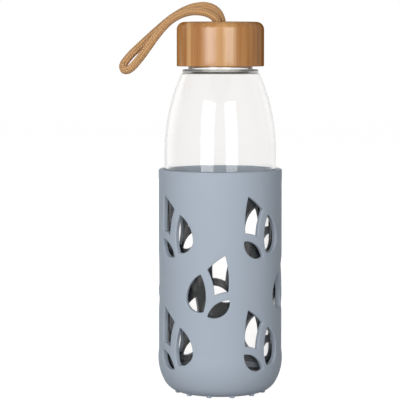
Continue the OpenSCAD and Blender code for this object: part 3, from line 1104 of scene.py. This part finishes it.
def holed_wall(loops, guards, width, low, high, columns, pitch):
    """Triangulate a flat wall with holes. Gives the points, the triangles, and each loop's
    points in order. The guards are loops a little outside the holes that keep the mesh even."""
    points, edges, members = [], [], []
    for loop in loops:
        first = len(points)
        points += loop
        edges += [(first + i, first + (i + 1) % len(loop)) for i in range(len(loop))]
        members.append(range(first, first + len(loop)))
    for guard in guards:
        points += guard[::2]

    # a grid of points fills the wall, clear of the guards
    boxes = [box_of(guard, 1) for guard in guards]
    too_near = 0.45  # the square of the least distance, in mm
    rows = round((high - low) / pitch)
    for j in range(rows + 1):
        z = low + (high - low) * j / rows
        for k in range(columns + 1):
            x = width * k / columns
            close = [guard for guard, box in zip(guards, boxes) if in_box(box, x, z)]
            if not any(
                inside_loop(guard, x, z)
                or any((x - gx) ** 2 + (z - gz) ** 2 < too_near for gx, gz in guard)
                for guard in close
            ):
                points.append((x, z))

    flat = [Vector(p) for p in points]
    found, _, faces, origins, _, _ = delaunay_2d_cdt(flat, edges, [], 0, 1e-5, True)
    index = {old: new for new, olds in enumerate(origins) for old in olds}
    rings = [[index[i] for i in member] for member in members]
    triangles = []
    for face in faces:
        a, b, c = (found[i] for i in face)
        x, z = (a.x + b.x + c.x) / 3, (a.y + b.y + c.y) / 3
        if any(in_box(box, x, z) and inside_loop(loop, x, z) for box, loop in zip(boxes, loops)):
            continue
        backwards = (b - a).cross(c - a) < 0
        triangles.append(tuple(face[::-1]) if backwards else tuple(face))
    return found, triangles, rings


def weld(obj):
    """Merge the seams of a mesh, turn its faces outwards, and check that it is closed."""
    mesh = bmesh.new()
    mesh.from_mesh(obj.data)
    bmesh.ops.remove_doubles(mesh, verts=mesh.verts, dist=2e-6)
    bmesh.ops.recalc_face_normals(mesh, faces=mesh.faces)
    open_edges = sum(len(edge.link_faces) != 2 for edge in mesh.edges)
    if open_edges:
        raise RuntimeError(f"{obj.name} has {open_edges} open edges")
    for face in mesh.faces:
        face.smooth = True
    mesh.to_mesh(obj.data)
    mesh.free()
    obj.data.set_sharp_from_angle(angle=SHARP)


class BOTTLE_OT_sleeve(bpy.types.Operator):
    """Mould the silicone sleeve, cut its leaf windows and round their edges"""

    bl_idname = "bottle.sleeve"
    bl_label = "Silicone Sleeve"

    def execute(self, context):
        sizes = context.scene.bottle_sleeve
        shape = SleeveShape(sizes)
        edge, tip = sizes.edge / MM, sizes.tip / MM
        low, high = shape.floor + shape.inner_corner, shape.rim - shape.rim_r
        width = 2 * math.pi * shape.radius
        vertices, faces = [], []

        # three rows of four clusters, by the heights of their middles; the middle one is mirrored
        leaves = []
        for z, turn, side in (
            (31.1, sizes.outer_rows_turn, 1),
            (63.1, sizes.mid_row_turn, -1),
            (96.9, sizes.outer_rows_turn, 1),
        ):
            for i in range(4):
                for middle, outline in leaf_cluster(tip):
                    centre = turn + i * math.pi / 2 + side * middle / shape.radius
                    centre = (centre - shape.seam) % (2 * math.pi) + shape.seam
                    leaves.append((centre, z, side, middle, outline[::side]))

        def put(points):
            """Add points to the sleeve; gives their numbers."""
            first = len(vertices)
            vertices.extend(points)
            return list(range(first, len(vertices)))

        def loop(leaf, out, radius):
            """Turn and height of each point of a leaf's outline, moved out, on a radius."""
            centre, z, side, middle, outline = leaf
            line = []
            for point, way in outline:
                p = point + way * (tip + out)
                r = radius(z + p.y)
                line.append((centre + math.asin(side * (p.x - middle) / r), z + p.y))
            return line

        def plan(out, radius):
            """All the leaves' outlines, moved out, on the flat plan of the wall."""
            return [
                [((turn - shape.seam) * shape.radius, z) for turn, z in loop(leaf, out, radius)]
                for leaf in leaves
            ]

        def wall(radius, reverse):
            """One face of the wall. Gives the numbers of the points round each hole."""
            holes, guards = plan(edge, radius), plan(edge + 0.85, radius)
            found, triangles, rings = holed_wall(holes, guards, width, low, high, STEPS, 1.3)
            numbers = put(
                shape.place(p.x / shape.radius + shape.seam, radius(p.y), p.y) for p in found
            )
            for triangle in triangles:
                face = tuple(numbers[i] for i in triangle)
                faces.append(face[::-1] if reverse else face)
            return [[numbers[i] for i in ring] for ring in rings]

        def bore(z):
            """Radius of the inside at any height."""
            return shape.bore

        outer = wall(shape.outside, False)
        inner = wall(bore, True)

        # window walls: a rounded edge outside, a straight cut, a rounded edge inside
        quarter = [math.radians(90 * k / 4) for k in range(1, 5)]
        cuts = [(a, shape.outside, -1) for a in quarter]
        cuts += [(a, bore, 1) for a in reversed(quarter)]
        for leaf, first_ring, last_ring in zip(leaves, outer, inner):
            rings = [first_ring]
            for a, radius, way in cuts:
                out, depth = edge * (1 - math.sin(a)), way * edge * (1 - math.cos(a))
                line = loop(leaf, out, lambda z: radius(z) + depth)
                rings.append(put(shape.place(t, radius(z) + depth, z) for t, z in line))
            rings.append(last_ring)
            for near, far in zip(rings, rings[1:]):
                for i in range(len(near)):
                    j = (i + 1) % len(near)
                    faces.append((near[j], near[i], far[i], far[j]))

        def turn_section(section):
            """Turn an open half section on the wall's own columns."""
            rings = []
            for r, z in section:
                if r < 1e-9:
                    rings.append(put([(0, 0, z * MM)]) * (STEPS + 1))
                    continue
                turns = [shape.seam + 2 * math.pi * k / STEPS for k in range(STEPS + 1)]
                rings.append(put(shape.place(turn, r, z) for turn in turns))
            for near, far in zip(rings, rings[1:]):
                for k in range(STEPS):
                    faces.append(distinct([near[k], near[k + 1], far[k + 1], far[k]]))

        rim = arc(shape.radius - shape.rim_r, high, shape.rim_r, 0, 90, 6)
        rim += arc(shape.bore + shape.rim_r, high, shape.rim_r, 90, 180, 6)
        cup = [(0, shape.under), (shape.flat_r / 2, shape.under)]
        cup += arc(shape.flat_r, shape.corner_z, shape.corner_r, -90, -shape.joint_deg, 10)
        for k in range(1, 7):
            z = shape.joint_z + (low - shape.joint_z) * k / 6
            cup.append((shape.outside(z), z))
        inside = [(shape.bore, low)]
        inside += arc(shape.bore - shape.inner_corner, low, shape.inner_corner, 0, -90, 12)[1:]
        inside += [(10, shape.floor), (0, shape.floor)]
        for section in (rim, cup, inside):
            turn_section(section)

        sleeve = new_object("leaf_cut_sleeve", vertices, faces)
        weld(sleeve)
        settle(context, sleeve, "sleeve", "grey_silicone", "silicone_sleeve")
        return {"FINISHED"}


# ---- Feet ----


def ring_of_feet(name):
    """Geometry nodes: one foot at each of a ring of evenly spaced points, the first half a
    space round from the right."""
    tree, given, out = new_group(
        name,
        "GeometryNodeTree",
        (
            ("Geometry", "Geometry", None),
            ("Foot", "Object", None),
            ("Count", "Int", None),
            ("Radius", "Float", None),
            ("Material", "Material", None),
        ),
        (("Geometry", "Geometry"),),
    )
    count = given["Count"]
    circle = {"Vertices": count, "Radius": given["Radius"]}
    points = Field(add(tree, "GeometryNodeMeshCircle", circle), "Mesh")
    spin = combine(tree, Z=calc(tree, "DIVIDE", math.pi, count))
    turned = Field(add(tree, "GeometryNodeTransform", {"Geometry": points, "Rotation": spin}))
    foot = Field(add(tree, "GeometryNodeObjectInfo", {"Object": given["Foot"]}), "Geometry")
    placed = {"Points": turned, "Instance": foot}
    copies = Field(add(tree, "GeometryNodeInstanceOnPoints", placed), "Instances")
    hand_out(tree, out, copies, given["Material"])
    return tree


class BOTTLE_OT_feet(bpy.types.Operator):
    """Set the ring of small feet under the sleeve"""

    bl_idname = "bottle.feet"
    bl_label = "Feet"

    def execute(self, context):
        section = [(0, 0), (0.6, 0), (1, 0.03), (1.25, 0.1), (1.38, 0.24)]
        section += [(1.46, 0.45), (1.6, 0.9), (1.6, 2), (0, 2)]
        stud = turned_object("foot_stud", section, steps=24)
        ring = new_object("feet_base", [], [])
        feet = baked_nodes(
            ring,
            "sleeve_feet",
            once("ring_of_feet", ring_of_feet),
            Foot=stud,
            Count=context.scene.bottle_sleeve.foot_count,
            Radius=25.9 * MM,
            Material=finish(context, "grey_silicone"),
        )
        bpy.data.objects.remove(stud)
        settle(context, feet, "sleeve", "grey_silicone")
        return {"FINISHED"}


# ---- Cap, liner and seal ----


class BOTTLE_OT_cap(bpy.types.Operator):
    """Turn the bamboo cap, its plastic liner and the seal in it"""

    bl_idname = "bottle.cap"
    bl_label = "Cap, Liner and Seal"

    def execute(self, context):
        sizes = context.scene.bottle_cap
        cap = self.bamboo_shell(sizes)
        settle(context, cap, "cap", "bamboo", "bamboo_cap")
        liner = self.threaded_liner(sizes)
        settle(context, liner, "cap", "white_plastic", "cap_liner")
        seal = self.sealing_ring(sizes)
        settle(context, seal, "seal", "clear_silicone", "cap_seal")
        return {"FINISHED"}

    @staticmethod
    def bamboo_shell(s):
        """The cap: a shell with a rounded top, a hole for the cord and a pocket for the knot."""
        low, top = cap_low.z / MM, cap_high.z / MM
        seat = liner_high.z / MM
        pocket_top = seat + 7.6
        r, bore, edge = s.radius / MM, s.bore / MM, s.edge / MM
        hole, pocket = s.hole_radius / MM, s.pocket_radius / MM
        section = [(bore + 0.3, low)]
        section += arc(r - 0.5, low + 0.5, 0.5, -90, 0, 5)
        section += rows_between(r, low + 0.5, top - edge, 3)
        section += arc(r - edge, top - edge, edge, 0, 90, 14)
        section += [(r - edge - 4, top), (hole + 3, top), (hole + 1.05, top)]
        section += [(hole + 0.62, top - 0.1), (hole + 0.15, top - 0.62), (hole, top - 0.95)]
        section += [(hole, pocket_top + 0.3), (hole + 0.3, pocket_top), (pocket, pocket_top)]
        section += [(pocket, seat), (bore, seat), (bore, low + 0.3)]
        return turned_object("bamboo_shell", section)

    @staticmethod
    def threaded_liner(s):
        """The liner: a cup upside down, with the thread on its bore, a quarter turn round."""
        low, top = liner_low.z / MM, liner_high.z / MM
        r, bore = s.liner_radius / MM, s.liner_bore / MM
        roof = seal_high.z / MM
        thread_z, thread_in = 194.45, 1.2
        section = [(0, roof), (bore - 0.4, roof), (bore, roof - 0.4)]
        section += rows_between(bore, roof - 0.4, low + 0.3, 0.25)
        section += [(bore + 0.3, low), (r - 0.2, low), (r, low + 0.2)]
        section += [(r, top - 0.3), (r - 0.3, top), (12, top), (0, top)]
        ridge = thread_ridge(bore, math.pi / 2, thread_z, -thread_in)
        return turned_object("threaded_liner", section, ridge)

    @staticmethod
    def sealing_ring(s):
        """The seal: a flat ring with three grooves under it."""
        low, top = seal_low.z / MM, seal_high.z / MM
        outer, bore, edge = seal_high.x / MM, s.seal_bore / MM, 0.25
        section = [(bore + edge, low)]
        for x in (17.2, 18.0, 18.8):
            section += [(x - 0.2, low), (x, low + 0.18), (x + 0.2, low)]
        section += [(outer - edge, low), (outer, low + edge), (outer, top - edge)]
        section += [(outer - edge, top), (bore + edge, top), (bore, top - edge), (bore, low + edge)]
        return turned_object("sealing_ring", section)


# ---- Stage ----


def aimed(scene, name, data, place, target):
    """Add a camera or a lamp at a place, turned towards a target."""
    obj = bpy.data.objects.new(name, data)
    scene.collection.objects.link(obj)
    obj.location = place
    obj.rotation_euler = (target - obj.location).to_track_quat("-Z", "Y").to_euler()
    return obj


def shown_path(tree):
    """1 for a ray that shows the background to the camera, in glass or in a gloss."""
    path = add(tree, "ShaderNodeLightPath")
    seen = Field(path, "Is Camera Ray") + Field(path, "Is Glossy Ray")
    seen = seen + Field(path, "Is Transmission Ray")
    direct = Field(path, "Diffuse Depth") < 0.5
    return (seen * direct).calc("MINIMUM", 1.0)


def room_tone(tree, direction):
    """How bright the studio looks that way: white to the camera and in glass, and to a gloss
    white behind the object and dim in front of it."""
    x, y, _ = split(tree, direction)
    room = ramp(tree, x.times_plus(-0.15, y), 0.2, 0.85, start=0.35)
    bounces = Field(add(tree, "ShaderNodeLightPath"), "Glossy Depth")
    given = {"Factor": bounces.calc("MINIMUM", 1.0), "A": 1, "B": room}
    return Field(add(tree, "ShaderNodeMix", given, data_type="FLOAT"), "Result")


class BOTTLE_OT_stage(bpy.types.Operator):
    """Set up the pale floor, the plain soft light and the camera"""

    bl_idname = "bottle.stage"
    bl_label = "Floor, Lights and Camera"

    def execute(self, context):
        scene = context.scene
        self.camera(scene)
        self.floor()
        self.world(scene)
        self.lights(scene)
        scene.view_settings.view_transform = "Standard"
        return {"FINISHED"}

    def camera(self, scene):
        """A long lens that looks down a little."""
        data = bpy.data.cameras.new("camera")
        data.lens = 171.8
        data.sensor_width = 36
        data.clip_end = 20
        target = Vector((-0.012, 0, 0.114))
        lean = math.radians(4.65)
        away = 1.13
        place = target + away * Vector((0, -math.cos(lean), math.sin(lean)))
        scene.camera = aimed(scene, "camera", data, place, target)

    def floor(self):
        """A floor that looks white where it is seen, and still holds the object's shadow. Its
        grey is paler for the light that it throws back on the object."""
        half = 4.0
        corners = [(-half, -half, 0), (half, -half, 0), (half, half, 0), (-half, half, 0)]
        floor = new_object("floor", corners, [(0, 1, 2, 3)])
        material, tree, shader = new_material(
            "pale_floor", Roughness=1, Specular_IOR_Level=0, Emission_Color=(1, 1, 1, 1)
        )
        shown = shown_path(tree)
        tone = room_tone(tree, vector_calc(tree, "NORMALIZE", coordinates(tree)))
        feed(shader, "Emission Strength", shown * tone * 0.945)
        grey = mixed(tree, shown, (0.5, 0.5, 0.5, 1), (0.34, 0.34, 0.34, 1))
        feed(shader, "Base Color", grey)
        floor.data.materials.append(material)

    def world(self, scene):
        """A dim white light from all round. Where the room is seen, it has its tone instead."""
        world = bpy.data.worlds.new("soft_studio")
        scene.world = world
        world.use_nodes = True
        tree = world.node_tree
        tree.nodes.clear()
        ambient = add(tree, "ShaderNodeBackground", {"Strength": 0.13, "Color": (1, 1, 1, 1)})
        tone = room_tone(tree, coordinates(tree, "Generated"))
        white = add(tree, "ShaderNodeBackground", {"Color": tone})
        given = {0: shown_path(tree), 1: Field(ambient), 2: Field(white)}
        both = Field(add(tree, "ShaderNodeMixShader", given))
        add(tree, "ShaderNodeOutputWorld", {"Surface": both})

    def lights(self, scene):
        """Two softboxes in front, which show in a gloss, and two fills, which don't."""
        for name, place, size, power in (
            ("softbox_left", (-0.74, -1.42, 0.50), (0.81, 1.0), 15.0),
            ("softbox_right", (0.62, -1.48, 0.50), (0.72, 1.0), 11.2),
            ("fill_left", (-1.5, -0.5, 0.5), (0.9, 0.9), 3.0),
            ("fill_back", (0, 1.7, 0.5), (1.1, 0.9), 12.0),
        ):
            data = bpy.data.lights.new(name, "AREA")
            data.shape = "RECTANGLE"
            data.size, data.size_y = size
            data.energy = power
            lamp = aimed(scene, name, data, place, Vector((0, 0, 0.12)))
            lamp.visible_camera = False
            lamp.visible_transmission = False
            lamp.visible_glossy = name.startswith("softbox")


# ---- Panel and registering ----


class BOTTLE_PT_builder(bpy.types.Panel):
    """Sizes, colours and the steps that build the bottle"""

    bl_label = "Sleeved Glass Bottle"
    bl_idname = "BOTTLE_PT_builder"
    bl_space_type = "VIEW_3D"
    bl_region_type = "UI"
    bl_category = "Bottle"

    def draw(self, context):
        for group in GROUPS:
            box = self.layout.box()
            box.label(text=group.replace("_", " ").title())
            sizes = getattr(context.scene, group)
            for name in type(sizes).__annotations__:
                box.prop(sizes, name)
        for operator in OPERATORS:
            self.layout.operator(operator.bl_idname)


GROUPS = {
    "bottle_glass": BottleGlassSizes,
    "bottle_sleeve": BottleSleeveSizes,
    "bottle_cap": BottleCapSizes,
    "bottle_cord": BottleCordSizes,
    "bottle_colours": BottleColours,
}
OPERATORS = (
    BOTTLE_OT_stage,
    BOTTLE_OT_cord,
    BOTTLE_OT_glass,
    BOTTLE_OT_sleeve,
    BOTTLE_OT_feet,
    BOTTLE_OT_cap,
)


def register():
    """Register the classes, and keep the sizes and colours on the scene."""
    for cls in (*GROUPS.values(), *OPERATORS, BOTTLE_PT_builder):
        bpy.utils.register_class(cls)
    for name, cls in GROUPS.items():
        setattr(bpy.types.Scene, name, PointerProperty(type=cls))


def unregister():
    """Take away what register adds."""
    for name in GROUPS:
        delattr(bpy.types.Scene, name)
    for cls in (BOTTLE_PT_builder, *reversed(OPERATORS), *reversed(GROUPS.values())):
        bpy.utils.unregister_class(cls)


def main():
    """Register the add-on and build the whole bottle, the stage and the cord first."""
    register()
    for operator in OPERATORS:
        group, name = operator.bl_idname.split(".")
        getattr(getattr(bpy.ops, group), name)()


if __name__ == "__main__":
    main()
